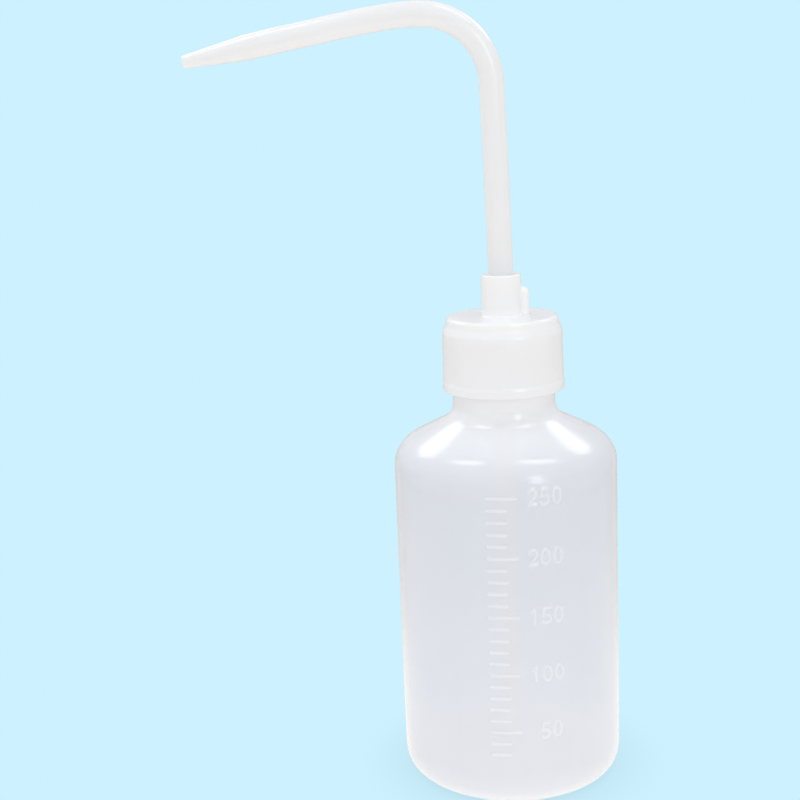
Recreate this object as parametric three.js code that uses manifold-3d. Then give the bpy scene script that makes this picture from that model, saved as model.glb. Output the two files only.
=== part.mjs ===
// Laboratory wash bottle, in millimetres: body, screw cap, liner, bent spout tube and dip tube.
// +Z is the bottle's axis, pointing up; the origin is the centre of the standing face.
// The volume scale faces -Y and the spout points to -X.
import * as THREE from "three";
import { mergeVertices } from "three/addons/utils/BufferGeometryUtils.js";
import Module from "manifold-3d";

// ---- driving dimensions: R is a radius, Z a height above the standing face ----
// body
const BODY_R = 31.75;
const WALL = 1.3;
const FLOOR = 1.6;
const BASE_CORNER = 7.9; // reach of the base corner
const BASE_POWER = 3.29; // its superellipse exponent
const SHOULDER_Z = 91.5; // top of the straight wall
const SHOULDER_R = 9.5; // radius of the shoulder's round
const SHOULDER_TURN = 63; // degrees turned by that round

// neck
const NECK_R = 14.45; // visible neck below the cap
const NECK_FILLET = 5.6; // hollow between shoulder and neck
const NECK_STEP_Z = 114.6; // neck narrows to its thread root here
const NECK_STEP_H = 0.8;
const NECK_ROOT_R = 13.8;
const NECK_BORE_R = 12.3;
const BORE_FOOT_RISE = 2.5; // foot of the straight bore above the fillet's top
const RIM_Z = 131.05;
const RIM_CHAMFER = 0.3;
const BORE_CHAMFER = 0.2;

// threads
const PITCH = 4; // one start, right hand
const TURNS = 1.25;
const THREAD_STEPS = 60;
const THREAD_ROOT_HALF = 0.95; // half the ridge's height at its root
const THREAD_CREST_HALF = 0.4; // and at its crest
const RUNOUT_STEPS = 5; // steps over which a ridge fades at each end
const RUNOUT_START = 0.12; // share of the full ridge at its very end
const RUNOUT_WIDTH = 0.7; // share of the ridge's height that does not fade
const NECK_THREAD_R = 14.95; // crest
const NECK_THREAD_BED = 0.4; // how far the ridge reaches into the neck
const NECK_THREAD_Z = 121.5; // centre of the first section
const CAP_THREAD_R = 14.2; // crest
const CAP_THREAD_BED = 0.5;
const THREAD_DROP = 1.37; // the cap's thread sits this far under the neck's

// tube sections and clearances
const TUBE_R = 3.45;
const TUBE_BORE_R = 2.3;
const TIP_R = 1.72;
const TIP_BORE_R = 0.95;
const DIP_R = 2.8;
const DIP_BORE_R = 1.9;
const TUBE_CLEARANCE = 0.05; // radial, spout tube in collar
const DIP_CLEARANCE = 0.04; // radial, dip tube in socket
const LEDGE_GAP = 0.1; // between the ledge and each tube end
const LINER_GAP = 0.05; // above and below the liner

// cap
const CAP_BOTTOM_Z = 113.35;
const CAP_TOP_Z = 134.05;
const CAP_PLATE = 1.7;
const PLATE_Z = CAP_TOP_Z - CAP_PLATE; // underside of the plate
const CAP_BORE_R = 15.3;
const CAP_MOUTH_R = 15.7; // bore flared at the bottom edge
const CAP_MOUTH_H = 0.6;
const COLLAR_R = 5.6;
const COLLAR_TOP_Z = 145.55;
const COLLAR_BORE_R = TUBE_R + TUBE_CLEARANCE;
const LEDGE_R = 2.1; // hole through the ledge between the two tubes
const LEDGE_BOTTOM_Z = 127.4;
const LEDGE_TOP_Z = 128.6;
const HUB_R = 4.7;
const HUB_BOTTOM_Z = 124.5;
const HUB_CHAMFER = 0.3;
const SOCKET_R = DIP_R + DIP_CLEARANCE;
const NUB_X = 5.95;
const NUB_R = 1.75;
const NUB_TOP_Z = 141.9;
const NUB_CORE_R = 0.8;
const NUB_CORE_TOP_Z = 140.2;
const NUB_CORE_CONE = 0.5; // height of the core's pointed top
const NUB_OVERLAP = 1; // nub and core start this far below their faces

// liner
const LINER_IN_R = 11.5;
const LINER_OUT_R = 15.0;
const LINER_BOTTOM_Z = RIM_Z + LINER_GAP;
const LINER_TOP_Z = PLATE_Z - LINER_GAP;

// dip tube
const DIP_TOP_Z = LEDGE_BOTTOM_Z - LEDGE_GAP;
const DIP_FOOT_Z = 5.0;
const DIP_CUT = 35; // degrees of the slanted foot
const CUTTER_SIZE = 20;

// ---- solids ----
const wasm = await Module();
wasm.setup();

// Makes a solid from a closed geometry, turning its faces over if they point inwards.
function solid(geometry) {
  const flat = geometry.index ? geometry.toNonIndexed() : geometry;
  const bare = new THREE.BufferGeometry().setAttribute("position", flat.getAttribute("position"));
  const merged = mergeVertices(bare, 1e-4);
  const vertProperties = merged.attributes.position.array;
  const triVerts = new Uint32Array(merged.index.array);
  const build = () => new wasm.Manifold(new wasm.Mesh({ numProp: 3, vertProperties, triVerts }));
  const made = build();
  if (made.volume() > 0) return made;
  for (let i = 0; i < triVerts.length; i += 3) {
    [triVerts[i + 1], triVerts[i + 2]] = [triVerts[i + 2], triVerts[i + 1]];
  }
  return build();
}

function geometryOf(made) {
  const { vertProperties, triVerts } = made.getMesh();
  const geometry = new THREE.BufferGeometry()
    .setAttribute("position", new THREE.Float32BufferAttribute(vertProperties, 3))
    .setIndex(new THREE.Uint32BufferAttribute(triVerts, 1));
  geometry.computeVertexNormals();
  return geometry;
}

// A profile of [radius, height] turned about Z.
function turned(profile, segments) {
  const points = profile.map(([radius, z]) => new THREE.Vector2(radius, z));
  return solid(new THREE.LatheGeometry(points, segments).rotateX(Math.PI / 2));
}

function pipe(innerR, outerR, bottomZ, topZ, segments) {
  const profile = [
    [innerR, bottomZ],
    [outerR, bottomZ],
    [outerR, topZ],
    [innerR, topZ],
    [innerR, bottomZ],
  ];
  return turned(profile, segments);
}

// Rings of points joined into one closed skin. Each ring closes on itself; the last ring is
// joined back to the first if asked, and otherwise both ends are capped.
function lofted(rings, joinEnds) {
  const count = rings[0].length;
  const spans = joinEnds ? rings.length : rings.length - 1;
  const index = [];
  for (let i = 0; i < spans; i++) {
    const here = i * count;
    const next = ((i + 1) % rings.length) * count;
    for (let j = 0; j < count; j++) {
      const k = (j + 1) % count;
      index.push(here + j, here + k, next + k, here + j, next + k, next + j);
    }
  }
  if (!joinEnds) {
    const last = (rings.length - 1) * count;
    for (let j = 1; j + 1 < count; j++) {
      index.push(0, j + 1, j);
      index.push(last, last + j, last + j + 1);
    }
  }
  const geometry = new THREE.BufferGeometry()
    .setAttribute("position", new THREE.Float32BufferAttribute(rings.flat(2), 3))
    .setIndex(index);
  return solid(geometry);
}

// A thread ridge: a trapezium swept up a right-hand helix, run out at both ends.
function thread(rootR, crestR, bedR, startZ) {
  const rings = [];
  for (let i = 0; i <= THREAD_STEPS; i++) {
    const turn = (i / THREAD_STEPS) * TURNS;
    const angle = turn * 2 * Math.PI;
    const z = startZ + PITCH * turn;
    const fade = Math.min(1, RUNOUT_START + Math.min(i, THREAD_STEPS - i) / RUNOUT_STEPS);
    const crest = rootR + (crestR - rootR) * fade;
    const widthShare = RUNOUT_WIDTH + (1 - RUNOUT_WIDTH) * fade;
    const rootHalf = THREAD_ROOT_HALF * widthShare;
    const crestHalf = THREAD_CREST_HALF * widthShare;
    const section = [
      [bedR, -rootHalf],
      [rootR, -rootHalf],
      [crest, -crestHalf],
      [crest, crestHalf],
      [rootR, rootHalf],
      [bedR, rootHalf],
    ];
    rings.push(section.map(([r, rise]) => [r * Math.cos(angle), r * Math.sin(angle), z + rise]));
  }
  return lofted(rings, false);
}

const rad = THREE.MathUtils.degToRad;

function arc(centreR, centreZ, radius, from, to, steps) {
  return Array.from({ length: steps + 1 }, (_, i) => {
    const angle = rad(from + ((to - from) * i) / steps);
    return [centreR + radius * Math.cos(angle), centreZ + radius * Math.sin(angle)];
  });
}

// ---- bottle ----
// Superellipse quarter from the base at bottomZ out to the wall at wallR.
function baseCorner(reach, wallR, bottomZ, steps) {
  return Array.from({ length: steps + 1 }, (_, i) => {
    const angle = ((1 - i / steps) * Math.PI) / 2;
    return [
      wallR - reach + reach * Math.cos(angle) ** (2 / BASE_POWER),
      bottomZ + reach - reach * Math.sin(angle) ** (2 / BASE_POWER),
    ];
  });
}

function bottleBody() {
  const sin = Math.sin(rad(SHOULDER_TURN));
  const cos = Math.cos(rad(SHOULDER_TURN));
  const shoulderR = BODY_R - SHOULDER_R; // centre of the shoulder's round
  const filletR = NECK_R + NECK_FILLET; // centre of the neck fillet
  // A straight slope joins the round to the fillet.
  const slopeLength = (shoulderR + SHOULDER_R * cos - (filletR - NECK_FILLET * cos)) / sin;
  const filletZ = SHOULDER_Z + SHOULDER_R * sin + slopeLength * cos + NECK_FILLET * sin;
  const filletTurn = 180 + SHOULDER_TURN;
  const outside = [
    [0, 0],
    ...baseCorner(BASE_CORNER, BODY_R, 0, 8),
    ...arc(shoulderR, SHOULDER_Z, SHOULDER_R, 0, SHOULDER_TURN, 6),
    ...arc(filletR, filletZ, NECK_FILLET, filletTurn, 180, 5),
    [NECK_R, NECK_STEP_Z],
    [NECK_ROOT_R, NECK_STEP_Z + NECK_STEP_H],
    [NECK_ROOT_R, RIM_Z - RIM_CHAMFER],
    [NECK_ROOT_R - RIM_CHAMFER, RIM_Z],
  ];
  const inside = [
    [NECK_BORE_R + BORE_CHAMFER, RIM_Z],
    [NECK_BORE_R, RIM_Z - BORE_CHAMFER],
    [NECK_BORE_R, filletZ + BORE_FOOT_RISE],
    ...arc(filletR, filletZ, NECK_FILLET + WALL, 180, filletTurn, 4),
    ...arc(shoulderR, SHOULDER_Z, SHOULDER_R - WALL, SHOULDER_TURN, 0, 5),
    ...baseCorner(BASE_CORNER - WALL, BODY_R - WALL, FLOOR, 5).reverse(),
    [0, FLOOR],
  ];
  const bedR = NECK_ROOT_R - NECK_THREAD_BED;
  return turned([...outside, ...inside], 64).add(
    thread(NECK_ROOT_R, NECK_THREAD_R, bedR, NECK_THREAD_Z),
  );
}

// ---- volume scale: angles in degrees from -Y, positive towards +X ----
const SCALE_FIRST = 30; // ml
const SCALE_LAST = 250;
const SCALE_MINOR = 10; // ml between marks
const SCALE_MAJOR = 50; // ml between numbered marks
const SCALE_Z50 = 22.8; // height of the 50 ml mark
const SCALE_STEP = 3.355; // height between marks
const MARK_RAISE = 0.28;
const MARK_BED = 0.45; // how far a mark reaches into the wall
const MARK_HALF = 0.36; // half the height of a mark
const MARK_START = -10.5; // angle where every mark starts
const MARK_SHORT = 0; // angle where a plain mark ends
const MARK_LONG = 5.5; // angle where a numbered mark ends
const DIGIT_W = 3;
const DIGIT_H = 5;
const DIGIT_PITCH = 3.5;
const DIGIT_STROKE = 0.8;
const THREE_DIGIT_CENTRE = 18.6; // angle of the middle of the number
const TWO_DIGIT_CENTRE = THREE_DIGIT_CENTRE + 1.9;
const MITRE_LIMIT = 0.6; // least cosine used to lengthen a mitre

// A flat shape drawn with x along the wall and y up, raised from the wall at an angle.
function onWall(shape, angle, z) {
  const geometry = new THREE.ExtrudeGeometry(shape, {
    depth: MARK_BED + MARK_RAISE,
    bevelEnabled: false,
  });
  const points = geometry.attributes.position;
  for (let i = 0; i < points.count; i++) {
    const around = rad(angle) + points.getX(i) / BODY_R;
    const r = BODY_R - MARK_BED + points.getZ(i);
    points.setXYZ(i, r * Math.sin(around), -r * Math.cos(around), z + points.getY(i));
  }
  return solid(geometry);
}

// A rectangle with its long edges divided, so that it can follow the wall.
function bar(x0, x1, y0, y1, steps = 1) {
  const edge = (y) =>
    Array.from({ length: steps + 1 }, (_, i) => new THREE.Vector2(x0 + ((x1 - x0) * i) / steps, y));
  return new THREE.Shape([...edge(y0), ...edge(y1).reverse()]);
}

// An open line of points given a width, with mitred corners.
function stroke(line) {
  const points = line.map(([x, y]) => new THREE.Vector2(x, y));
  const last = points.length - 1;
  const left = [];
  const right = [];
  points.forEach((point, i) => {
    const before = point.clone().sub(points[Math.max(0, i - 1)]).normalize();
    const after = points[Math.min(last, i + 1)].clone().sub(point).normalize();
    const along = before.clone().add(after).normalize();
    const mitre = i === 0 || i === last ? 1 : Math.max(MITRE_LIMIT, along.dot(before));
    const reach = DIGIT_STROKE / 2 / mitre;
    const offset = new THREE.Vector2(-along.y * reach, along.x * reach);
    left.push(point.clone().add(offset));
    right.unshift(point.clone().sub(offset));
  });
  return new THREE.Shape([...left, ...right]);
}

function zero() {
  const oval = (inset) =>
    Array.from({ length: 12 }, (_, i) => {
      const angle = (i / 12) * 2 * Math.PI;
      return new THREE.Vector2(
        DIGIT_W / 2 + (DIGIT_W / 2 - inset) * Math.cos(angle),
        DIGIT_H / 2 + (DIGIT_H / 2 - inset) * Math.sin(angle),
      );
    });
  const shape = new THREE.Shape(oval(0));
  shape.holes.push(new THREE.Path(oval(DIGIT_STROKE)));
  return shape;
}

// Shapes of each digit used, from its lower left corner. Stroke points are [x, y].
const DIGITS = {
  0: [zero()],
  1: [bar(1.3, 2.1, 0, DIGIT_H), stroke([[0.5, 3.8], [1.75, 4.6]])],
  2: [
    stroke([
      [0.3, 3.5], [0.6, 4.25], [1.5, 4.6], [2.4, 4.25],
      [2.6, 3.4], [1.8, 2.1], [0.45, 0.35],
    ]),
    bar(0.1, 2.9, 0, DIGIT_STROKE),
  ],
  5: [
    bar(0.5, 2.8, DIGIT_H - DIGIT_STROKE, DIGIT_H),
    bar(0.5, 0.5 + DIGIT_STROKE, 2.2, DIGIT_H - 0.1),
    stroke([
      [0.6, 2.65], [1.5, 2.95], [2.35, 2.55], [2.6, 1.6],
      [2.25, 0.7], [1.4, 0.4], [0.25, 0.6],
    ]),
  ],
};

function numberParts(volume, z) {
  const text = String(volume);
  const width = (text.length - 1) * DIGIT_PITCH + DIGIT_W;
  const centre = text.length === 2 ? TWO_DIGIT_CENTRE : THREE_DIGIT_CENTRE;
  return [...text].flatMap((digit, i) => {
    const offset = THREE.MathUtils.radToDeg((i * DIGIT_PITCH - width / 2) / BODY_R);
    return DIGITS[digit].map((shape) => onWall(shape, centre + offset, z - DIGIT_H / 2));
  });
}

function makeBottle() {
  let bottle = bottleBody();
  for (let volume = SCALE_FIRST; volume <= SCALE_LAST; volume += SCALE_MINOR) {
    const z = SCALE_Z50 + ((volume - 50) / SCALE_MINOR) * SCALE_STEP;
    const numbered = volume % SCALE_MAJOR === 0;
    const startX = rad(MARK_START) * BODY_R;
    const endX = rad(numbered ? MARK_LONG : MARK_SHORT) * BODY_R;
    bottle = bottle.add(onWall(bar(startX, endX, -MARK_HALF, MARK_HALF, 3), 0, z));
    if (!numbered) continue;
    for (const part of numberParts(volume, z)) bottle = bottle.add(part);
  }
  return bottle;
}

// ---- cap ----
// [radius, height] up the outside, in over the plate, and back down the inside.
const CAP_PROFILE = [
  // skirt, with a band round its foot
  [CAP_MOUTH_R, CAP_BOTTOM_Z],
  [16.9, CAP_BOTTOM_Z],
  [17.2, CAP_BOTTOM_Z + 0.3],
  [17.2, CAP_BOTTOM_Z + 2.1],
  [17.0, CAP_BOTTOM_Z + 2.55],
  [16.85, 130.5],
  [16.65, 130.95],
  // narrower rounded top
  [15.95, 131.4],
  [15.76, 133.1],
  [15.55, 133.65],
  [15.15, 133.97],
  [14.75, CAP_TOP_Z],
  // collar
  [COLLAR_R + 0.45, CAP_TOP_Z],
  [COLLAR_R + 0.1, CAP_TOP_Z + 0.35],
  [COLLAR_R - 0.06, COLLAR_TOP_Z - 0.3],
  [COLLAR_R - 0.35, COLLAR_TOP_Z],
  [COLLAR_BORE_R + 0.25, COLLAR_TOP_Z],
  [COLLAR_BORE_R, COLLAR_TOP_Z - 0.25],
  // ledge, then the socket in the hub
  [COLLAR_BORE_R, LEDGE_TOP_Z],
  [LEDGE_R, LEDGE_TOP_Z],
  [LEDGE_R, LEDGE_BOTTOM_Z],
  [SOCKET_R, LEDGE_BOTTOM_Z],
  [SOCKET_R, HUB_BOTTOM_Z + HUB_CHAMFER],
  [SOCKET_R + HUB_CHAMFER, HUB_BOTTOM_Z],
  [HUB_R - HUB_CHAMFER, HUB_BOTTOM_Z],
  [HUB_R, HUB_BOTTOM_Z + HUB_CHAMFER],
  // underside of the plate and the threaded bore
  [HUB_R, PLATE_Z],
  [CAP_BORE_R, PLATE_Z],
  [CAP_BORE_R, CAP_BOTTOM_Z + CAP_MOUTH_H],
  [CAP_MOUTH_R, CAP_BOTTOM_Z],
];

function makeCap() {
  const nubProfile = [
    [0, CAP_TOP_Z - NUB_OVERLAP],
    [NUB_R, CAP_TOP_Z - NUB_OVERLAP],
    [NUB_R, NUB_TOP_Z - NUB_R],
    ...arc(0, NUB_TOP_Z - NUB_R, NUB_R, 18, 72, 3),
    [0, NUB_TOP_Z],
  ];
  const coreProfile = [
    [0, PLATE_Z - NUB_OVERLAP],
    [NUB_CORE_R, PLATE_Z - NUB_OVERLAP],
    [NUB_CORE_R, NUB_CORE_TOP_Z - NUB_CORE_CONE],
    [0, NUB_CORE_TOP_Z],
  ];
  const bedR = CAP_BORE_R + CAP_THREAD_BED;
  return turned(CAP_PROFILE, 48)
    .add(thread(CAP_BORE_R, CAP_THREAD_R, bedR, NECK_THREAD_Z - THREAD_DROP))
    .add(turned(nubProfile, 24).translate([NUB_X, 0, 0]))
    .subtract(turned(coreProfile, 16).translate([NUB_X, 0, 0]));
}

// ---- spout tube ----
const TUBE_FOOT_Z = LEDGE_TOP_Z + LEDGE_GAP;
const STRAIGHT_TOP_Z = 148; // the tube is exactly upright up to here
const STRAIGHT_LENGTH = STRAIGHT_TOP_Z - TUBE_FOOT_Z;
const BEND_R = 19.4; // centreline radius of the bend
const BEND_X = -20.6; // its centre
const BEND_Z = 196.9;
const TAPER_LENGTH = 21; // the drawn tip
const TAPER_EASE = 0.24; // share of the taper that eases in
const RING_POINTS = 32;

// Centreline points [x, z] in the plane y = 0, from the foot to the tip.
const CENTRELINE = [
  [0, TUBE_FOOT_Z], [0, STRAIGHT_TOP_Z], [-0.18, 156], [-0.42, 168], [-0.72, 180], [-1.0, 189],
  ...arc(BEND_X, BEND_Z, BEND_R, 0, 84, 7),
  [-25.0, 216.2], [-33.9, 215.25], [-42.7, 213.9], [-51.5, 212.35], [-60.3, 210.9],
  [-69.3, 209.2], [-78.2, 207.6], [-85.2, 206.35],
];

// Distances along the centreline at which the tube gets a ring.
function ringStops(length) {
  const taperStart = length - TAPER_LENGTH;
  const stops = [0, STRAIGHT_LENGTH, 27, 39, 51, 60, 64];
  for (let s = 67; s <= 98; s += 2.6) stops.push(s); // close together round the bend
  for (let s = 102; s < taperStart; s += 7.5) stops.push(s);
  for (const s of [0, 2.5, 5, 8, 12, 16, 19.5, TAPER_LENGTH]) stops.push(taperStart + s);
  return stops;
}

// Share of the narrowing reached after a share of the taper: it eases in, then runs straight.
function narrowing(share) {
  const eased =
    share < TAPER_EASE ? (share * share) / (2 * TAPER_EASE) : share - TAPER_EASE / 2;
  return eased / (1 - TAPER_EASE / 2);
}

function ringAcross(centre, tangent, radius) {
  return Array.from({ length: RING_POINTS }, (_, i) => {
    const angle = (i / RING_POINTS) * 2 * Math.PI;
    const across = radius * Math.cos(angle);
    return [
      centre.x + across * tangent.z,
      radius * Math.sin(angle),
      centre.z - across * tangent.x,
    ];
  });
}

function makeSpoutTube() {
  const path = new THREE.CatmullRomCurve3(
    CENTRELINE.map(([x, z]) => new THREE.Vector3(x, 0, z)),
    false,
    "centripetal",
  );
  path.arcLengthDivisions = 2000;
  const length = path.getLength();
  const outer = [];
  const bore = [];
  for (const s of ringStops(length)) {
    const upright = s <= STRAIGHT_LENGTH;
    const share = Math.min(1, s / length);
    const centre = upright ? new THREE.Vector3(0, 0, TUBE_FOOT_Z + s) : path.getPointAt(share);
    const tangent = upright ? new THREE.Vector3(0, 0, 1) : path.getTangentAt(share);
    const narrowed = narrowing(Math.max(0, (s - (length - TAPER_LENGTH)) / TAPER_LENGTH));
    outer.push(ringAcross(centre, tangent, TUBE_R + (TIP_R - TUBE_R) * narrowed));
    bore.push(ringAcross(centre, tangent, TUBE_BORE_R + (TIP_BORE_R - TUBE_BORE_R) * narrowed));
  }
  // Outside up, over the tip, back down the bore, and closed at the foot.
  return lofted([...outer, ...bore.reverse()], true);
}

// ---- dip tube: its slanted foot is lowest on the +X side ----
function makeDipTube() {
  const slant = rad(DIP_CUT);
  const half = CUTTER_SIZE / 2;
  const cutter = new THREE.BoxGeometry(CUTTER_SIZE, CUTTER_SIZE, CUTTER_SIZE)
    .rotateY(slant)
    .translate(
      -half * Math.sin(slant),
      0,
      DIP_FOOT_Z + DIP_R * Math.tan(slant) - half * Math.cos(slant),
    );
  return pipe(DIP_BORE_R, DIP_R, DIP_FOOT_Z, DIP_TOP_Z, 32).subtract(solid(cutter));
}

// ---- assembly ----
const group = new THREE.Group();

function put(name, made, { color, roughness }) {
  const material = new THREE.MeshStandardMaterial({ color, roughness, metalness: 0 });
  const mesh = new THREE.Mesh(geometryOf(made), material);
  mesh.name = name;
  group.add(mesh);
}

const liner = pipe(LINER_IN_R, LINER_OUT_R, LINER_BOTTOM_Z, LINER_TOP_Z, 48);
put("bottle", makeBottle(), { color: 0xdfe3ea, roughness: 0.4 });
put("cap", makeCap(), { color: 0xf0f0f2, roughness: 0.45 });
put("liner", liner, { color: 0xe9ebee, roughness: 0.6 });
put("spout_tube", makeSpoutTube(), { color: 0xeeeef0, roughness: 0.4 });
put("dip_tube", makeDipTube(), { color: 0xe4e7ec, roughness: 0.4 });

export default group;
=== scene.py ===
"""Looks for a laboratory wash bottle: milky polyethylene bottle, screw cap, bent spout and dip tube.

The bottle stands on z = 0 with its axis on Z. Its moulded scale faces -Y, towards the camera, and
the spout bends over towards -X. The frame is in metres, +Z up; shapes here are worked out in mm.
"""
import math

import bpy
import numpy as np
from mathutils import Matrix, Vector


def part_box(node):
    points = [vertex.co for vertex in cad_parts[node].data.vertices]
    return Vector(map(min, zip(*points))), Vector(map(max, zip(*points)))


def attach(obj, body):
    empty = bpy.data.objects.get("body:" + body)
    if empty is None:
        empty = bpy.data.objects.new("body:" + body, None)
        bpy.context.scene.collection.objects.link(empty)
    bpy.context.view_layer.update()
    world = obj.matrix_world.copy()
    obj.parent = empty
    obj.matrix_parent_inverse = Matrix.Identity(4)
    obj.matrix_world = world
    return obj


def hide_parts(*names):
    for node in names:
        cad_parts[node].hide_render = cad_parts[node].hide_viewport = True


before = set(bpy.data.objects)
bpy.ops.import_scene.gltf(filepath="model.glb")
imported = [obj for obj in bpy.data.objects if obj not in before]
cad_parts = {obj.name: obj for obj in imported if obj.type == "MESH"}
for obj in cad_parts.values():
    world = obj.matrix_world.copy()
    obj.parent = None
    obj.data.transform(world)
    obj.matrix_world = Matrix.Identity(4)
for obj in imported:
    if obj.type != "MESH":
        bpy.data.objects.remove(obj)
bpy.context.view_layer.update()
MM = 0.001


def box_mm(name):
    return [v * 1000 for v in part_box(name)]


# ---------------------------------------------------------------- dimensions (mm)
BOTTLE_HIGH = box_mm("bottle")[1]
CAP_LOW, CAP_HIGH = box_mm("cap")
DIP_LOW, DIP_HIGH = box_mm("dip_tube")

BODY_R, RIM_Z = BOTTLE_HIGH.x, BOTTLE_HIGH.z
WALL, BASE_THICK = 1.3, 1.6
BASE_CORNER, BASE_POWER = 7.9, 3.29  # reach and superellipse power of the foot's corner
SHOULDER_Z, SHOULDER_R, SHOULDER_DEG = 91.5, 9.5, 63.0
NECK_R, NECK_FILLET = 14.45, 5.6
NECK_ROOT_R, NECK_BORE_R, NECK_STEP_Z = 13.8, 12.3, 114.6

THREAD_PITCH, THREAD_TURNS = 4.0, 1.25
NECK_THREAD_R, NECK_THREAD_Z = 14.95, 121.5
CAP_THREAD_R, CAP_BORE_R = 14.2, 15.3
THREAD_DROP = 1.37  # how far the cap's thread starts below the neck's

CAP_BOTTOM_Z, CAP_TOP_Z = CAP_LOW.z, 134.05
PLATE_Z = CAP_TOP_Z - 1.7  # underside of the cap's top plate
CAP_FOOT_R, CAP_WAIST_R = 17.2, 16.86
COLLAR_R, COLLAR_TOP_Z, COLLAR_BORE_R = 5.6, CAP_HIGH.z, 3.5
SOCKET_R, SOCKET_TOP_Z, SOCKET_BOTTOM_Z = 2.84, 127.4, 124.5  # dip tube's socket
BOSS_R, COLLAR_SEAT_Z, SEAT_HOLE_R = 4.7, 128.6, 2.1
NUB_X, NUB_R, NUB_TOP_Z = 5.95, 1.75, 141.9
CORE_R, CORE_TOP_Z = 0.8, 140.2

TUBE_R, TUBE_BORE_R, TUBE_FOOT_Z = 3.45, 2.3, box_mm("spout_tube")[0].z
TIP_R, TIP_BORE_R, TAPER = 1.72, 0.95, 21.0
DIP_R, DIP_BORE_R, DIP_CUT_DEG = 2.8, 1.9, 35


# ---------------------------------------------------------------- mesh helpers
def detail(full):
    return full


def mesh_object(name, verts, faces, smooth=True):
    """Makes an object from vertices in metres."""
    mesh = bpy.data.meshes.new(name)
    mesh.from_pydata([tuple(v) for v in verts], [], [tuple(int(i) for i in f) for f in faces])
    mesh.validate()
    mesh.update()
    if smooth:
        shade_smooth(mesh)
    ob = bpy.data.objects.new(name, mesh)
    bpy.context.scene.collection.objects.link(ob)
    return ob


def shade_smooth(mesh):
    mesh.polygons.foreach_set("use_smooth", [True] * len(mesh.polygons))


def mark_points(ob, name, values):
    layer = ob.data.attributes.new(name, "FLOAT", "POINT")
    layer.data.foreach_set("value", np.asarray(values, np.float32))


def smoothstep(t):
    return t * t * (3 - 2 * t)


def full_turn(count):
    return [2 * math.pi * i / count for i in range(count)]


def arc(centre_r, centre_z, radius, start, end, steps):
    """Profile points on an arc; start and end in degrees."""
    angles = [math.radians(start + (end - start) * i / steps) for i in range(steps + 1)]
    return [(centre_r + radius * math.cos(a), centre_z + radius * math.sin(a)) for a in angles]


def rounded(rows, steps):
    """Rounds the corners of an open profile of (r, z, corner radius) rows; radius 0 stays sharp."""
    points = [np.array(row[:2], float) for row in rows]
    out = [rows[0][:2]]
    for i in range(1, len(rows) - 1):
        here, radius = points[i], rows[i][2]
        if not radius:
            out.append(tuple(here))
            continue
        back, ahead = points[i - 1] - here, points[i + 1] - here
        back_len, ahead_len = np.linalg.norm(back), np.linalg.norm(ahead)
        back, ahead = back / back_len, ahead / ahead_len
        half = math.acos(max(-1, min(1, float(back @ ahead)))) / 2
        # a corner takes at most just under half of either side
        reach = min(radius / math.tan(half), 0.48 * back_len, 0.48 * ahead_len)
        middle = back + ahead
        fitted = reach * math.tan(half)
        centre = here + middle / np.linalg.norm(middle) * (fitted / math.sin(half))
        start, end = here + back * reach - centre, here + ahead * reach - centre
        sweep = math.atan2(start[0] * end[1] - start[1] * end[0], float(start @ end))
        for k in range(steps + 1):
            cos, sin = math.cos(sweep * k / steps), math.sin(sweep * k / steps)
            out.append((
                centre[0] + start[0] * cos - start[1] * sin,
                centre[1] + start[0] * sin + start[1] * cos,
            ))
    out.append(rows[-1][:2])
    return out


def spread(profile, step):
    """Adds points so that no straight run is longer than step."""
    out = [profile[0]]
    for a, b in zip(profile[:-1], profile[1:]):
        count = max(1, int(math.ceil(math.hypot(b[0] - a[0], b[1] - a[1]) / step)))
        for k in range(1, count + 1):
            out.append((a[0] + (b[0] - a[0]) * k / count, a[1] + (b[1] - a[1]) * k / count))
    return out


def bands(index, closed=False):
    """Faces between neighbouring rows of a grid whose columns run round; triangles at a pole."""
    rows, columns = index.shape
    faces = []
    for i in range(rows if closed else rows - 1):
        a, b = index[i], index[(i + 1) % rows]
        for j in range(columns):
            k = (j + 1) % columns
            if a[j] == a[k]:
                faces.append([a[j], b[k], b[j]])
            elif b[j] == b[k]:
                faces.append([a[j], a[k], b[k]])
            else:
                faces.append([a[j], a[k], b[k], b[j]])
    return faces


def profile_grid(profile, angles):
    """Grids of radius, height and angle, one row per profile point."""
    points = np.array(profile, float)
    radius, angle = np.meshgrid(points[:, 0], np.array(angles, float), indexing="ij")
    height = np.repeat(points[:, 1][:, None], len(angles), 1)
    return radius, height, angle


def turned(radius, height, angle, raised=0.0):
    """Vertices (mm) and their index grid, turned about Z; a point on the axis is one vertex."""
    x, y = (radius + raised) * np.cos(angle), (radius + raised) * np.sin(angle)
    index = np.full(radius.shape, -1, int)
    verts = []
    for i in range(len(radius)):
        count = len(verts)
        if radius[i, 0] < 1e-9:
            index[i] = count
            verts.append((0.0, 0.0, height[i, 0]))
        else:
            index[i] = np.arange(count, count + radius.shape[1])
            verts.extend(zip(x[i], y[i], height[i]))
    return np.array(verts), index


def ring_skin(name, rings, first_inner):
    """Joins rings, up the outside and back down the bore, into one skin with 'inside' marked."""
    sides = len(rings[0])
    index = np.arange(len(rings) * sides).reshape(-1, sides)
    ob = mesh_object(name, np.concatenate(rings) * MM, bands(index, closed=True))
    mark_points(ob, "inside", np.repeat(np.arange(len(rings)) >= first_inner, sides))
    return ob


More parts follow.
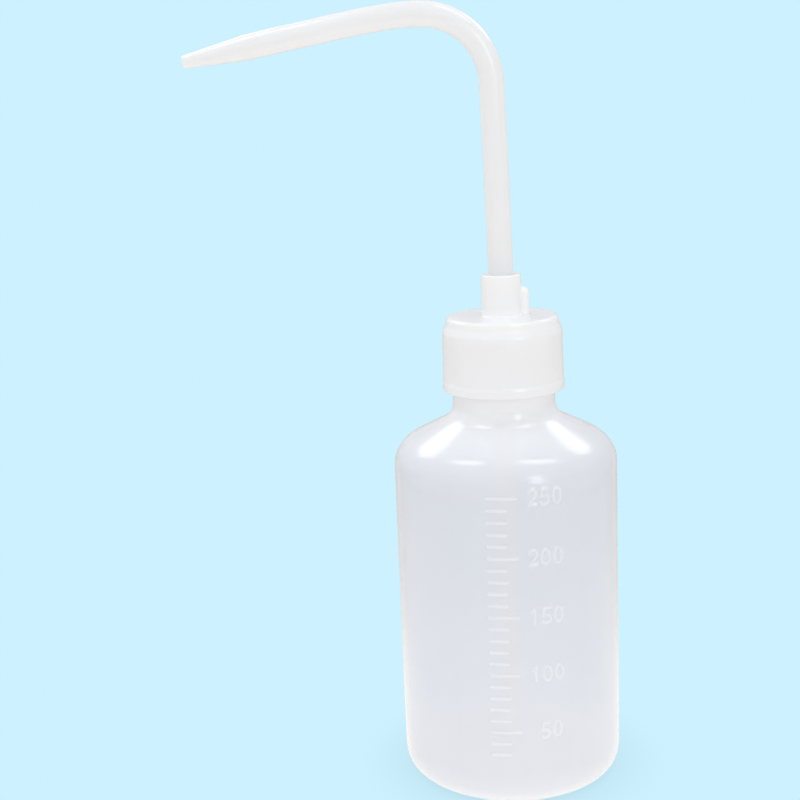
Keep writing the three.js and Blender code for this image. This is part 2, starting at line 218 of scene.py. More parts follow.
def thread(height, angle, start_z, crest):
    """Radial height of a rounded trapezoid thread, with its ends run out."""
    half_width, flank, run_out, rounding = 0.95, 0.55, 0.09, 0.35
    out = np.zeros_like(height)
    for k in range(-1, 3):
        turn = np.mod(angle, 2 * math.pi) / (2 * math.pi) + k
        off = np.abs(height - (start_z + THREAD_PITCH * turn))
        run = np.clip(np.minimum(turn, THREAD_TURNS - turn) / run_out, 0, 1)
        run = smoothstep(np.where((turn >= 0) & (turn <= THREAD_TURNS), run, 0))
        rise = np.clip((half_width - off) / flank, 0, 1)
        rise = smoothstep(rise) * rounding + rise * (1 - rounding)
        out = np.maximum(out, rise * run)
    return crest * out


# ---------------------------------------------------------------- moulded scale
FRONT = -math.pi / 2  # the angle of the scale's middle line, on -Y
SCALE_Z50, SCALE_STEP = 22.8, 3.355  # height of the 50 ml mark, rise per 10 ml
TICK_LEFT, TICK_MINOR, TICK_MAJOR = -10.5, 0, 5.5  # ends of the ticks, degrees from FRONT
TEXT_DEG, TEXT_SHIFT = 18.6, 1.9  # middle of the numbers, further out for two digits
TICK_HALF, STROKE_HALF = 0.42, 0.38  # half widths of the lines
DIGIT_PITCH, DIGIT_W, DIGIT_H = 3.5, 3, 5
MARK_HEIGHT = 0.22


def digit_arc(centre_z, radius_x, radius_z, start, end, count):
    """count points on an arc of a digit whose centre is at x 1.5; angles in degrees."""
    angles = np.linspace(math.radians(start), math.radians(end), count)
    return [(1.5 + radius_x * math.cos(a), centre_z + radius_z * math.sin(a)) for a in angles]


FIVE_BOWL = [(x - 0.1, z) for x, z in digit_arc(1.6, 1.2, 1.2, 130, -145, 15)]
# each digit is one line through (x, z) points
DIGITS = {
    "0": digit_arc(2.5, 1.1, 2.1, 0, 360, 21),
    "1": [(1.7, 0.4), (1.7, 4.6), (0.85, 3.85)],
    "2": digit_arc(3.5, 1.1, 1.1, 165, -35, 12) + [(0.45, 0.42), (2.65, 0.42)],
    "5": [(2.45, 4.6), (0.8, 4.6), (0.63, 2.5)] + FIVE_BOWL,
}


def arc_length(degrees):
    return math.radians(degrees) * BODY_R


def scale_segments():
    """Segments (x0, z0, x1, z1, half width) of the scale, x along the wall from FRONT."""
    segments = []
    for volume in range(30, 251, 10):
        z = SCALE_Z50 + (volume - 50) / 10 * SCALE_STEP
        major = volume % 50 == 0
        x0 = arc_length(TICK_LEFT)
        x1 = arc_length(TICK_MAJOR if major else TICK_MINOR)
        segments.append((x0 + 0.4, z, x1 - 0.4, z, TICK_HALF))
        # only the 50, 100, 150, 200 and 250 marks are numbered with digits
        text = str(volume) if major else ""
        width = (len(text) - 1) * DIGIT_PITCH + DIGIT_W
        centre = arc_length(TEXT_DEG + (TEXT_SHIFT if len(text) == 2 else 0))
        for i, digit in enumerate(text):
            left, low = centre - width / 2 + i * DIGIT_PITCH, z - DIGIT_H / 2
            line = [(left + px, low + pz) for px, pz in DIGITS[digit]]
            segments += [(*p, *q, STROKE_HALF) for p, q in zip(line[:-1], line[1:])]
    return segments


def scale_marks(x, z):
    """Height 0..1 of the moulded marks at arc position x and height z."""
    marks = np.zeros_like(x)
    for x0, z0, x1, z1, half in scale_segments():
        pad = half + 0.6
        near = (x > min(x0, x1) - pad) & (x < max(x0, x1) + pad)
        near &= (z > min(z0, z1) - pad) & (z < max(z0, z1) + pad)
        if not near.any():
            continue
        dx, dz = x1 - x0, z1 - z0
        along = ((x[near] - x0) * dx + (z[near] - z0) * dz) / (dx * dx + dz * dz + 1e-9)
        along = np.clip(along, 0, 1)
        off = np.hypot(x[near] - x0 - along * dx, z[near] - z0 - along * dz)
        rise = smoothstep(np.clip((half + 0.2 - off) / 0.42, 0, 1))
        marks[near] = np.maximum(marks[near], rise)
    return marks


# ---------------------------------------------------------------- bottle
def base_corner(reach, outer_r, bottom_z, steps):
    """Superellipse quarter from the base out and up to the wall."""
    points = []
    for i in range(steps + 1):
        a = (1 - i / steps) * math.pi / 2
        r = outer_r - reach + reach * max(0.0, math.cos(a)) ** (2 / BASE_POWER)
        points.append((r, bottom_z + reach - reach * math.sin(a) ** (2 / BASE_POWER)))
    return points


def fillet_height():
    """Height of the centre of the fillet between the sloping shoulder and the neck."""
    cos, sin = math.cos(math.radians(SHOULDER_DEG)), math.sin(math.radians(SHOULDER_DEG))
    slope_start_r = BODY_R - SHOULDER_R + SHOULDER_R * cos
    slope_end_r = NECK_R + NECK_FILLET * (1 - cos)
    slope_rise = (slope_start_r - slope_end_r) / sin * cos
    return SHOULDER_Z + SHOULDER_R * sin + slope_rise + NECK_FILLET * sin


def bottle_angles():
    """Close columns under the scale and at the parting lines, wide ones elsewhere."""
    degrees = list(np.arange(33.0, 360 - 14.0, 4.4))
    for side in (90.0, 270.0):
        degrees = [d for d in degrees if abs(d - side) > 2.6]
        degrees += [side + k for k in (-2.2, -1.1, -0.55, 0, 0.55, 1.1, 2.2)]
    degrees += list(np.arange(-12.4, 31.0, detail(0.42)))
    return [FRONT + math.radians(d) for d in sorted(degrees)]


def bottle_profiles():
    """Outside profile from the base's centre to the neck bore, and inside profile back down."""
    fillet_z = fillet_height()
    shoulder = (BODY_R - SHOULDER_R, SHOULDER_Z)
    fillet = (NECK_R + NECK_FILLET, fillet_z)
    foot = base_corner(BASE_CORNER, BODY_R, 0, 22)
    wall = spread([foot[-1], (BODY_R, SHOULDER_Z)], detail(0.262))[1:-1]
    # below the scale every fourth row is enough
    wall = [p for p in wall if p[1] < 13][::4] + [p for p in wall if p[1] >= 13]
    neck_step = [
        (NECK_R, fillet_z + 0.3, 0),
        (NECK_R, NECK_STEP_Z, 0.4),
        (NECK_ROOT_R, NECK_STEP_Z + 0.8, 0.4),
        (NECK_ROOT_R, 117.5, 0),
    ]
    rim = [
        (NECK_ROOT_R, 129.8, 0),
        (NECK_ROOT_R, RIM_Z, 0.45),
        (NECK_BORE_R, RIM_Z, 0.4),
        (NECK_BORE_R, RIM_Z - 3, 0),
    ]
    outside = (
        [(0.0, 0.0), (8.0, 0.0), (16.0, 0.0)]
        + foot
        + wall
        + arc(*shoulder, SHOULDER_R, 0, SHOULDER_DEG, 30)
        + arc(*fillet, NECK_FILLET, 180 + SHOULDER_DEG, 180, 16)
        + rounded(neck_step, 4)
        + spread([(NECK_ROOT_R, 118.6), (NECK_ROOT_R, 129.2)], 0.18)
        + rounded(rim, 5)
    )
    inside = (
        [(NECK_BORE_R, fillet_z + 2.6)]
        + arc(*fillet, NECK_FILLET + WALL, 180, 180 + SHOULDER_DEG, 14)
        + arc(*shoulder, SHOULDER_R - WALL, SHOULDER_DEG, 0, 20)
        + [(BODY_R - WALL, z) for z in np.linspace(80, 15, 8)]
        + base_corner(BASE_CORNER - WALL, BODY_R - WALL, BASE_THICK, 16)[::-1]
        + [(12.0, BASE_THICK), (0.0, BASE_THICK)]
    )
    return outside, inside


def parting_line(R, Z, degrees):
    """The mould's parting line, a low ridge at +X and -X."""
    off = np.minimum(np.abs(degrees - 90), np.abs(degrees + 90)) * math.pi / 180 * R
    ridge = np.where((Z > 3) & (Z < 117), np.clip(1 - off / 0.45, 0, 1), 0)
    return 0.07 * smoothstep(ridge)


def wall_sway(R, Z, T):
    """Slow waves, since the wall of a blown bottle is never quite true."""
    sway = 0.05 * np.sin(2 * T + 0.6) * np.sin(Z / 17.0)
    sway += 0.035 * np.sin(3 * T + 1.9 + Z / 31.0)
    sway += 0.02 * np.sin(5 * T - Z / 9.0)
    fade = np.clip((Z - 6) / 12, 0, 1) * np.clip((108 - Z) / 14, 0, 1)
    return np.where(R > 20, sway * fade, 0)


def make_bottle():
    outside, inside = bottle_profiles()
    R, Z, T = profile_grid(outside + inside, bottle_angles())
    outer = np.arange(len(R))[:, None] < len(outside)
    degrees = (np.degrees(T - FRONT) + 180) % 360 - 180

    marks = scale_marks(np.radians(degrees) * BODY_R, Z)
    marks = np.where(outer & (Z > 12) & (Z < 96), marks, 0)
    ridge = thread(Z, T, NECK_THREAD_Z, NECK_THREAD_R - NECK_ROOT_R)
    raised = MARK_HEIGHT * marks + np.where(outer, parting_line(R, Z, degrees), 0)
    raised = raised + wall_sway(R, Z, T)
    raised = raised + np.where(outer & (Z > 117.4) & (Z < 130.5), ridge, 0)

    verts, index = turned(R, Z, T, raised)
    ob = mesh_object("bottle_body", verts * MM, bands(index))
    for name, grid in (("mark", marks), ("inside", np.broadcast_to(~outer, R.shape))):
        values = np.zeros(len(verts), np.float32)
        values[index.ravel()] = grid.ravel()
        mark_points(ob, name, values)
    # a blown wall is thicker towards the neck and round the foot, so whiter; towards the neck,
    # shoulder included, the whitening is also painted light that lifts the shade under the cap
    z = verts[:, 2]
    neck = np.interp(z, [88, 94, 99, 103.5, 107, 112], [0.0, 0.14, 0.44, 0.64, 0.86, 1.0])
    foot = 0.4 * smoothstep(np.clip((11 - z) / 11, 0, 1))
    mark_points(ob, "thickness_and_painted_light", np.maximum(neck, foot))
    return ob


# ---------------------------------------------------------------- cap
def cap_profile():
    """Closed skin, up the outside, down the collar's bore and out under the plate."""
    low, top = CAP_BOTTOM_Z, CAP_TOP_Z
    rows = [  # r, z, corner radius
        (15.75, low, 0),
        (CAP_FOOT_R, low, 0.35),
        (CAP_FOOT_R, low + 2.0, 0.5),
        (16.97, low + 2.95, 0.4),
        (CAP_WAIST_R, 129.9, 2.6),
        (15.9, 131.9, 2.2),
        (15.74, top, 1.25),
        (COLLAR_R + 0.08, top, 0.5),
        (COLLAR_R - 0.06, COLLAR_TOP_Z, 0.35),
        (COLLAR_BORE_R, COLLAR_TOP_Z, 0.25),
        (COLLAR_BORE_R, COLLAR_SEAT_Z, 0.1),
        (SEAT_HOLE_R, COLLAR_SEAT_Z, 0.1),
        (SEAT_HOLE_R, SOCKET_TOP_Z, 0.1),
        (SOCKET_R, SOCKET_TOP_Z, 0.1),
        (SOCKET_R, SOCKET_BOTTOM_Z, 0.25),
        (BOSS_R, SOCKET_BOTTOM_Z, 0.3),
        (BOSS_R, PLATE_Z, 0.3),
        (CAP_BORE_R, PLATE_Z, 0.3),
        (CAP_BORE_R, low + 0.7, 0),
    ]
    profile = rounded(rows, 8)
    # the threaded bore needs close rows
    return spread(profile[:-1] + spread(profile[-2:], 0.2)[1:], 2.5)


def join_tool(ob, name, profile, sides, operation):
    """Turns a profile about the nub's axis and joins it to, or cuts it from, ob."""
    verts, index = turned(*profile_grid(profile, full_turn(sides)))
    tool = mesh_object(name, (verts + np.array([NUB_X, 0, 0])) * MM, bands(index))
    modifier = ob.modifiers.new("join", "BOOLEAN")
    modifier.operation, modifier.solver, modifier.object = operation, "EXACT", tool
    graph = bpy.context.evaluated_depsgraph_get()
    mesh = bpy.data.meshes.new_from_object(ob.evaluated_get(graph))
    ob.modifiers.clear()
    old = ob.data
    ob.data = mesh
    bpy.data.meshes.remove(old)
    bpy.data.objects.remove(tool)


def mark_cap(ob):
    points = np.zeros(len(ob.data.vertices) * 3, np.float32)
    ob.data.vertices.foreach_get("co", points)
    points = points.reshape(-1, 3) * 1000
    r, z = np.hypot(points[:, 0], points[:, 1]), points[:, 2]
    under = (r < CAP_BORE_R + 0.1) & (z < PLATE_Z + 0.2)
    bore = (r < COLLAR_BORE_R + 0.1) & (z < COLLAR_TOP_Z - 0.1)
    collar = np.where((r < COLLAR_R + 0.2) & (z > CAP_TOP_Z + 0.6), 0.1, 0.0)
    mark_points(ob, "inside", np.maximum((under | bore).astype(np.float32), collar))
    # painted light: the skirt is painted whiter towards the top plate, where more light falls, the
    # top plate a little, and the collar and nub fully, for the light that scatters through them
    skirt = 0.55 * np.clip((z - 120) / 13, 0, 1) ** 1.5
    thickness_and_painted_light = np.where(z > CAP_TOP_Z - 0.3, 0.3, skirt)
    mark_points(ob, "thickness_and_painted_light", np.where((r < 8.5) & (z > CAP_TOP_Z + 0.1), 1.0, thickness_and_painted_light))


def make_cap():
    R, Z, T = profile_grid(cap_profile(), full_turn(detail(160)))
    in_bore = (np.abs(R - CAP_BORE_R) < 1e-6) & (Z > CAP_BOTTOM_Z + 1) & (Z < PLATE_Z - 0.4)
    ridge = thread(Z, T, NECK_THREAD_Z - THREAD_DROP, CAP_THREAD_R - CAP_BORE_R)
    verts, index = turned(R, Z, T, np.where(in_bore, ridge, 0))
    ob = mesh_object("screw_cap", verts * MM, bands(index, closed=True))

    # a round-topped nub beside the collar on +X, hollow from below
    dome_z = NUB_TOP_Z - NUB_R
    nub = [
        (0.0, CAP_TOP_Z - 1.0),
        (NUB_R, CAP_TOP_Z - 1.0),
        (NUB_R + 0.02, CAP_TOP_Z + 0.2),
        (NUB_R, CAP_TOP_Z + 3),
        (NUB_R, dome_z - 2),
        (NUB_R, dome_z),
        *arc(0, dome_z, NUB_R, 6, 84, 13),
        (0.0, NUB_TOP_Z),
    ]
    core = [
        (0.0, PLATE_Z - 1),
        (CORE_R, PLATE_Z - 1),
        (CORE_R, CORE_TOP_Z - 0.5),
        (CORE_R / 2, CORE_TOP_Z - 0.1),
        (0.0, CORE_TOP_Z),
    ]
    join_tool(ob, "nub_tool", nub, 40, "UNION")
    join_tool(ob, "core_tool", core, 24, "DIFFERENCE")
    shade_smooth(ob.data)
    mark_cap(ob)
    return ob


# ---------------------------------------------------------------- spout and dip tube
BEND_X, BEND_Z, BEND_R = -20.6, 196.9, 19.4
# (x, z) of the tube's middle line, before and after the bend
RISER = [
    (0, TUBE_FOOT_Z), (0, 148), (-0.18, 156), (-0.42, 168), (-0.72, 180), (-1.0, 189),
]
ARM = [
    (-25.0, 216.2), (-33.9, 215.25), (-42.7, 213.9), (-51.5, 212.35),
    (-60.3, 210.9), (-69.3, 209.2), (-78.2, 207.6), (-85.2, 206.35),
]


def catmull(points, steps=40):
    """Centripetal Catmull-Rom curve through 2-D points."""
    P = [np.array(p, float) for p in points]
    P = [2 * P[0] - P[1]] + P + [2 * P[-1] - P[-2]]
    out = []

    def between(t, start, end, a, b):
        return (end - t) / (end - start) * a + (t - start) / (end - start) * b

    for i in range(1, len(P) - 2):
        p0, p1, p2, p3 = P[i - 1 : i + 3]
        t0 = 0.0
        t1 = t0 + np.linalg.norm(p1 - p0) ** 0.5
        t2 = t1 + np.linalg.norm(p2 - p1) ** 0.5
        t3 = t2 + np.linalg.norm(p3 - p2) ** 0.5
        for k in range(steps):
            t = t1 + (t2 - t1) * k / steps
            a1 = between(t, t0, t1, p0, p1)
            a2 = between(t, t1, t2, p1, p2)
            a3 = between(t, t2, t3, p2, p3)
            b1 = between(t, t0, t2, a1, a2)
            b2 = between(t, t1, t3, a2, a3)
            out.append(between(t, t1, t2, b1, b2))
    out.append(P[-2])
    return np.array(out)


def tube_path():
    """Points of the middle line and the distance of each along it."""
    bend = arc(BEND_X, BEND_Z, BEND_R, 0, 84, 7)
    path = catmull(RISER + bend + ARM)
    path[path[:, 1] < 147.5, 0] = 0.0  # dead straight inside the cap
    steps = np.linalg.norm(np.diff(path, axis=0), axis=1)
    return path, np.concatenate([[0], np.cumsum(steps)])


def make_spout():
    path, run = tube_path()
    length = run[-1]
    taper_at = length - TAPER
    at = np.concatenate([
        np.arange(0, 64, 1.6),
        np.arange(64, 100, 0.55),
        np.arange(100, taper_at, 1.2),
        np.arange(taper_at, length - 0.5, 0.5),
        [length - 0.32, length - 0.16, length - 0.05, length],
    ])

    def place(distance):
        return np.array([np.interp(distance, run, path[:, axis]) for axis in (0, 1)])

    x, z = place(at)
    tangent = place(np.minimum(at + 0.05, length)) - place(np.maximum(at - 0.05, 0))
    dir_x, dir_z = tangent / np.hypot(*tangent)
    dir_x[at < 19], dir_z[at < 19] = 0.0, 1.0

    # the taper eases in, then runs straight to the tip
    ease = 0.24
    k = np.clip((at - taper_at) / TAPER, 0, 1)
    narrow = np.where(k < ease, k * k / (2 * ease), k - ease / 2) / (1 - ease / 2)
    outer = TUBE_R + (TIP_R - TUBE_R) * narrow
    bore = TUBE_BORE_R + (TIP_BORE_R - TUBE_BORE_R) * narrow
    # a drawn tip is slightly uneven, and its end is rounded
    outer = outer + np.where(k > 0, 0.035 * np.sin(at * 1.3) * k * (1 - k) * 2, 0)
    outer[-3:] -= np.array([0.02, 0.08, 0.2])
    bore[-2:] += np.array([0.05, 0.14])
    # a heated bend flattens a little
    bend = np.exp(-(((at - 82) / 9.0) ** 2))
    turn = np.array(full_turn(detail(56)))

    def ring(i, radius, squeeze):
        across = radius * np.cos(turn) * (1 - squeeze)
        y = radius * np.sin(turn) * (1 + 0.6 * squeeze)
        return np.stack([x[i] + across * dir_z[i], y, z[i] - across * dir_x[i]], -1)

    chamfer = 0.12
    rows = range(len(at))
    up = [ring(i, outer[i], 0.022 * bend[i]) for i in rows]
    up[0] = up[0] + np.array([0, 0, chamfer])
    down = [ring(i, bore[i], 0.03 * bend[i]) for i in reversed(rows)]
    return ring_skin("spout", [ring(0, TUBE_R - chamfer, 0)] + up + down, len(at) + 1)


def make_dip():
    """Straight tube with a slanting foot, longest on +X."""
    slope = math.tan(math.radians(DIP_CUT_DEG))
    turn = np.array(full_turn(detail(48)))
    levels = np.linspace(0, 1, 60)

    def ring(radius, level):
        x, y = radius * np.cos(turn), radius * np.sin(turn)
        foot = DIP_LOW.z + DIP_R * slope - x * slope
        return np.stack([x, y, foot + (DIP_HIGH.z - foot) * level], -1)

    up = [ring(DIP_R, level) for level in levels]
    down = [ring(DIP_BORE_R, level) for level in levels[::-1]]
    return ring_skin("dip", up + down, len(levels))


# ---------------------------------------------------------------- shader helper
class Shader:
    """Builds the node tree of a material or world."""

    def __init__(self, owner):
        owner.use_nodes = True
        self.tree = owner.node_tree
        self.tree.nodes.clear()

    def node(self, kind, inputs=None, output=0, **settings):
        """Adds a node; inputs are values or sockets. Returns one output, or the node for None."""
        made = self.tree.nodes.new("ShaderNode" + kind)
        for key, value in settings.items():
            setattr(made, key, value)
        for key, value in (inputs or {}).items():
            if isinstance(value, bpy.types.NodeSocket):
                self.tree.links.new(value, made.inputs[key])
            else:
                made.inputs[key].default_value = value
        return made if output is None else made.outputs[output]

    def math(self, operation, *values, clamp=False):
        inputs = dict(enumerate(values))
        return self.node("Math", inputs, operation=operation, use_clamp=clamp)

    def line(self, value, gain, offset, clamp=False):
        return self.math("MULTIPLY_ADD", value, gain, offset, clamp=clamp)

    def remap(self, value, source=(0, 1), to=(0, 1), kind="LINEAR"):
        inputs = {"From Min": source[0], "From Max": source[1], "To Min": to[0], "To Max": to[1]}
        inputs["Value"] = value
        return self.node("MapRange", inputs, "Result", interpolation_type=kind)

    def attribute(self, name):
        return self.node("Attribute", output="Fac", attribute_name=name)

    def mix_shader(self, factor, first, second):
        return self.node("MixShader", {"Fac": factor, 1: first, 2: second})

    def finish(self, surface, kind="OutputMaterial"):
        self.node(kind, {"Surface": surface}, output=None)


# ---------------------------------------------------------------- plastics
def milky(name, tint, deep, see, through, rough, grain=1.0, mark=False, streak=0.0, inner=0.9,
          white=(0.965, 0.967, 0.97), glass=(1, 1, 1), rim_path_and_highlight=0.45):
    """Milky polyethylene.

    tint, deep: colours the clouding runs between; white: colour the wall whitens towards where it is
    thicker and where light is painted in
    see: straight see-through per surface; inner: the same on the inner skin
    glass: tint of what is seen straight through; through: share of diffuse light let through
    edge: how far the rim whitens, partly for the longer path through the wall at grazing angles and
    partly as a painted rim highlight; streak: strength of the flow lines; grain: of the bumps
    mark: whether the moulded marks whiten the wall
    """
    mat = bpy.data.materials.new(name)
    sh = Shader(mat)
    place = sh.node("TexCoord", output="Object")

    def noise(vector, scale, octaves, roughness):
        inputs = {"Vector": vector, "Scale": scale, "Detail": octaves, "Roughness": roughness}
        return sh.node("TexNoise", inputs, "Fac")

    # slow clouding, fine satin grain, and faint vertical flow lines
    cloud = noise(place, scale=38.0, octaves=2.0, roughness=0.5)
    fine = noise(place, scale=900.0, octaves=3.0, roughness=0.6)
    drawn = sh.node("Mapping", {"Vector": place, "Scale": (1.0, 1.0, 0.03)})
    flow = noise(drawn, scale=420.0, octaves=2.0, roughness=0.55)
    uneven = sh.line(flow, gain=streak, offset=cloud)
    clouding = sh.remap(uneven, source=(0.3 + streak * 0.3, 0.7 + streak * 0.7))
    inputs = {"A": (*deep, 1), "B": (*tint, 1), "Factor": clouding}
    clouded = sh.node("Mix", inputs, "Result", data_type="RGBA")

    # how much the wall whitens: at grazing angles, partly for the longer path through the wall and
    # partly as a painted rim highlight; where the mesh attribute marks a thicker wall and painted
    # light; and at the moulded marks
    facing = sh.node("LayerWeight", {"Blend": 0.5}, "Facing")
    rim = sh.math("POWER", facing, 3.2)
    rim = sh.math("MULTIPLY", rim, rim_path_and_highlight)
    thick_and_painted_light = sh.math("MAXIMUM", rim, sh.attribute("thickness_and_painted_light"))
    if mark:
        thick_and_painted_light = sh.line(sh.attribute("mark"), gain=0.37, offset=thick_and_painted_light, clamp=True)
    inputs = {"Factor": thick_and_painted_light, "A": clouded, "B": (*white, 1)}
    colour = sh.node("Mix", inputs, "Result", data_type="RGBA")

    inputs = {"Strength": 0.10 * grain, "Distance": 0.00006, "Height": fine}
    normal = sh.node("Bump", inputs)
    inputs = {"Strength": 0.25 * grain, "Distance": 0.00012, "Height": uneven, "Normal": normal}
    normal = sh.node("Bump", inputs)
    roughness = sh.remap(fine, to=(rough - 0.05, rough + 0.06))

    lit = {"Color": colour, "Normal": normal}
    diffuse = sh.node("BsdfDiffuse", lit)
    translucent = sh.node("BsdfTranslucent", lit)
    # a thicker wall, and the painted light, let less light through from behind
    let_through = sh.line(thick_and_painted_light, gain=-0.6 * through, offset=through)
    body = sh.mix_shader(let_through, diffuse, translucent)
    clear = sh.node("BsdfTransparent", {"Color": (*glass, 1)})
    veil = sh.mix_shader(see, body, clear)
    # a thicker wall hides more, and so does the painted light; light scatters once, so the inner
    # skin has its own clearness
    outer_see = sh.line(thick_and_painted_light, gain=-see * 0.75, offset=see)
    inputs = {"Factor": sh.attribute("inside"), "A": outer_see, "B": inner}
    clearness = sh.node("Mix", inputs, "Result", data_type="FLOAT")
    sh.tree.links.new(clearness, veil.node.inputs["Fac"])

    # gloss on front faces only
    inputs = {"Color": (1, 1, 1, 1), "Roughness": roughness, "Normal": normal}
    glossy = sh.node("BsdfGlossy", inputs)
    fresnel = sh.node("Fresnel", {"IOR": 1.5, "Normal": normal})
    back_face = sh.node("NewGeometry", output="Backfacing")
    front_face = sh.line(back_face, gain=-1.0, offset=1.0)
    gloss = sh.math("MULTIPLY", fresnel, front_face)
    sh.finish(sh.mix_shader(gloss, veil, glossy))
    return mat


def give(ob, mat):
    ob.data.materials.clear()
    ob.data.materials.append(mat)


# ---------------------------------------------------------------- build
bottle = make_bottle()
cap = make_cap()
spout = make_spout()
dip = make_dip()

give(bottle, milky(
    "body_polyethylene", tint=(0.895, 0.901, 0.928), deep=(0.87, 0.878, 0.91),
    see=0.40, through=0.45, rough=0.17, mark=True, streak=0.35,
    white=(0.982, 0.984, 0.994), glass=(0.955, 0.96, 0.975),
))
give(cap, milky(
    "cap_polyethylene", tint=(0.972, 0.98, 0.997), deep=(0.954, 0.962, 0.978),
    see=0.08, through=0.24, rough=0.22, inner=0.6, white=(0.987, 0.99, 0.997),
))
# the tube's rims whiten strongly: a painted rim highlight along its sides, partly the longer path
# through the wall
give(spout, milky(
    "tube_polyethylene", tint=(0.936, 0.942, 0.954), deep=(0.916, 0.923, 0.936),
    see=0.12, through=0.3, rough=0.24, streak=0.2, white=(0.985, 0.987, 0.992), rim_path_and_highlight=0.95,
))
give(dip, milky(
    "dip_polyethylene", tint=(0.98, 0.995, 0.99), deep=(0.97, 0.988, 0.983),
    see=0.04, through=0.3, rough=0.34, white=(0.985, 0.997, 0.992),
))
give(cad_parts["liner"], milky(
    "liner_foam", tint=(0.93, 0.935, 0.94), deep=(0.88, 0.89, 0.9),
    see=0.0, through=0.3, rough=0.6, grain=3.0, inner=0.0,
))

for ob, moves_with, piece, slot in (
    (bottle, "bottle", "bottle", "bottle_plastic"),
    (cap, "closure", "cap", "cap_plastic"),
    (dip, "closure", "dip_tube", "dip_plastic"),
    (spout, "spout", "spout_tube", "tube_plastic"),
):
    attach(ob, moves_with)
    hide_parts(piece)

# ---------------------------------------------------------------- floor (metres from here on)
# backdrop colour, linear, from its 8-bit sRGB values
BACKDROP = (*(((c / 255 + 0.055) / 1.055) ** 2.4 for c in (205, 241, 255)), 1)
FLOOR_R, FLOOR_Z, FLOOR_SIDES = 6, -0.0003, 96
# strength of the floor as a light: near the bottle, far off, behind it, and in mirror images
FLOOR_NEAR, FLOOR_FAR, FLOOR_BEHIND, FLOOR_MIRROR = 1.23, 0.92, 0.69, 0.88


def floor_material():
    mat = bpy.data.materials.new("pale_floor")
    sh = Shader(mat)
    light_path = sh.node("LightPath", output=None)
    # seen by the camera: the backdrop colour with a soft contact shade round the foot
    open_sky = sh.node("AmbientOcclusion", {"Distance": 0.016}, "AO", samples=16)
    shade = sh.remap(open_sky, to=(0.84, 1.0))
    seen = sh.node("Emission", {"Color": BACKDROP, "Strength": shade})
    # as a light: warm white, brightest near the bottle and dimmer behind it
    place = sh.node("TexCoord", output="Object")
    distance = sh.node("VectorMath", {0: place}, "Value", operation="LENGTH")
    pool = sh.remap(distance, (0.03, 0.34), (FLOOR_NEAR, FLOOR_FAR), "SMOOTHSTEP")
    y = sh.node("SeparateXYZ", {0: place}, "Y")
    behind = sh.remap(y, (0.03, 0.14), (1.0, FLOOR_BEHIND / FLOOR_FAR), "SMOOTHSTEP")
    strength = sh.math("MULTIPLY", pool, behind)
    # its mirror image in the plastic is softer than the light it gives
    glossy_ray = light_path.outputs["Is Glossy Ray"]
    calm = sh.line(glossy_ray, gain=FLOOR_MIRROR - 1.0, offset=1.0)
    strength = sh.math("MULTIPLY", strength, calm)
    glow = sh.node("Emission", {"Color": (1.0, 0.952, 0.9, 1), "Strength": FLOOR_FAR})
    sh.tree.links.new(strength, glow.node.inputs["Strength"])
    sh.finish(sh.mix_shader(light_path.outputs["Is Camera Ray"], glow, seen))
    return mat


floor_edge = [
    (FLOOR_R * math.cos(a), FLOOR_R * math.sin(a), FLOOR_Z) for a in full_turn(FLOOR_SIDES)
]
floor_faces = [[0, 1 + i, 1 + (i + 1) % FLOOR_SIDES] for i in range(FLOOR_SIDES)]
floor = mesh_object("floor", [(0.0, 0.0, FLOOR_Z)] + floor_edge, floor_faces, smooth=False)
give(floor, floor_material())

# ---------------------------------------------------------------- world
# strength of a white tent towards -Y, +Y and overhead, and how much brighter it is on -X
TENT_FRONT, TENT_BACK, TENT_TOP, TENT_LEFT = 0.89, 0.67, 0.77, 0.15


def make_world():
    world = bpy.data.worlds.new("studio")
    bpy.context.scene.world = world
    sh = Shader(world)
    camera_ray = sh.node("LightPath", output="Is Camera Ray")
    seen = sh.node("Background", {"Color": BACKDROP, "Strength": 1.0})
    direction = sh.node("TexCoord", output="Generated")
    axes = sh.node("SeparateXYZ", {0: direction}, output=None).outputs
    depth = sh.remap(axes["Y"], source=(1.0, -1.0), to=(TENT_BACK, TENT_FRONT))
    top_gain = TENT_TOP - (TENT_BACK + TENT_FRONT) / 2
    top = sh.remap(axes["Z"], source=(0.2, 1.0), to=(0.0, top_gain), kind="SMOOTHSTEP")
    strength = sh.math("ADD", depth, top)
    strength = sh.line(axes["X"], gain=-TENT_LEFT, offset=strength)
    tent = sh.node("Background", {"Color": (0.965, 0.982, 1.0, 1), "Strength": strength})
    sh.finish(sh.mix_shader(camera_ray, tent, seen), "OutputWorld")


make_world()


# ---------------------------------------------------------------- lights
def softbox(name, place, target, width, height, power):
    light = bpy.data.lights.new(name, "AREA")
    light.shape, light.size, light.size_y, light.energy = "RECTANGLE", width, height, power
    ob = bpy.data.objects.new(name, light)
    ob.visible_camera = False
    ob.location = place
    ob.rotation_mode = "QUATERNION"
    ob.rotation_quaternion = (Vector(target) - Vector(place)).to_track_quat("-Z", "Y")
    bpy.context.scene.collection.objects.link(ob)


def panel(name, azimuth, elevation, width, height, radiance):
    """A soft panel 1 m from the shoulder; azimuth from +Y towards +X, in degrees."""
    shoulder = (0.0, -0.015, 0.11)
    a, e = math.radians(azimuth), math.radians(elevation)
    away = Vector((math.sin(a) * math.cos(e), math.cos(a) * math.cos(e), math.sin(e)))
    power = radiance * math.pi * width * height
    softbox(name, Vector(shoulder) + away, shoulder, width, height, power)


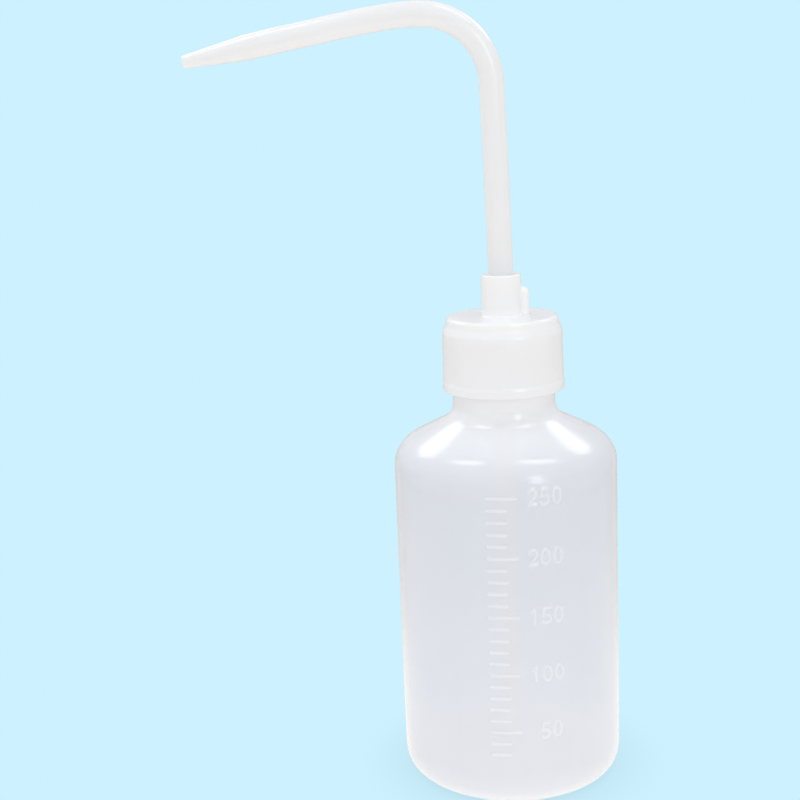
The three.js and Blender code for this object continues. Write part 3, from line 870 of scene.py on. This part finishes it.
def overhead(name, x, y, width, power):
    """A soft panel facing straight down."""
    softbox(name, (x, y, 0.86), (x, y, 0.0), width, 0.20, power)


# two panels high behind, two overhead with a gap between them, a tall one in front on the right
panel("back_left", azimuth=-43, elevation=38.0, width=0.52, height=0.28, radiance=2.65)
panel("back_right", azimuth=42, elevation=39.2, width=0.48, height=0.25, radiance=2.75)
overhead("overhead_left", x=-0.37, y=-0.04, width=0.30, power=0.72)
overhead("overhead_right", x=0.29, y=-0.05, width=0.38, power=0.88)
panel("front_right", azimuth=148, elevation=20, width=0.20, height=0.46, radiance=4.2)

# ---------------------------------------------------------------- camera
CAMERA_DISTANCE, CAMERA_HEIGHT = 0.36871, 0.192547
PITCH_DOWN, YAW, ROLL = (math.radians(a) for a in (12.535, -4.593, -2.391))


def make_camera():
    camera = bpy.data.cameras.new("camera")
    camera.sensor_width = 36.0
    camera.lens = 59.615145
    camera.clip_start, camera.clip_end = 0.01, 50
    ob = bpy.data.objects.new("camera", camera)
    level = math.cos(PITCH_DOWN)
    forward = Vector((math.sin(YAW) * level, math.cos(YAW) * level, -math.sin(PITCH_DOWN)))
    right = Vector((math.cos(YAW), -math.sin(YAW), 0.0))
    up = right.cross(forward)
    rolled_right = right * math.cos(ROLL) + up * math.sin(ROLL)
    rolled_up = -right * math.sin(ROLL) + up * math.cos(ROLL)
    matrix = Matrix((rolled_right, rolled_up, -forward)).transposed().to_4x4()
    matrix.translation = Vector((0, -CAMERA_DISTANCE, CAMERA_HEIGHT))
    ob.matrix_world = matrix
    bpy.context.scene.collection.objects.link(ob)
    bpy.context.scene.camera = ob


make_camera()

# ---------------------------------------------------------------- render settings
view = bpy.context.scene.view_settings
view.view_transform = "Standard"
view.look = "None"
view.exposure = 0.0
view.gamma = 1.0
cycles = bpy.context.scene.cycles
cycles.use_denoising = True
cycles.max_bounces = 16
cycles.diffuse_bounces = 8
cycles.glossy_bounces = 4
cycles.transmission_bounces = 8
cycles.transparent_max_bounces = 24

bpy.context.view_layer.update()
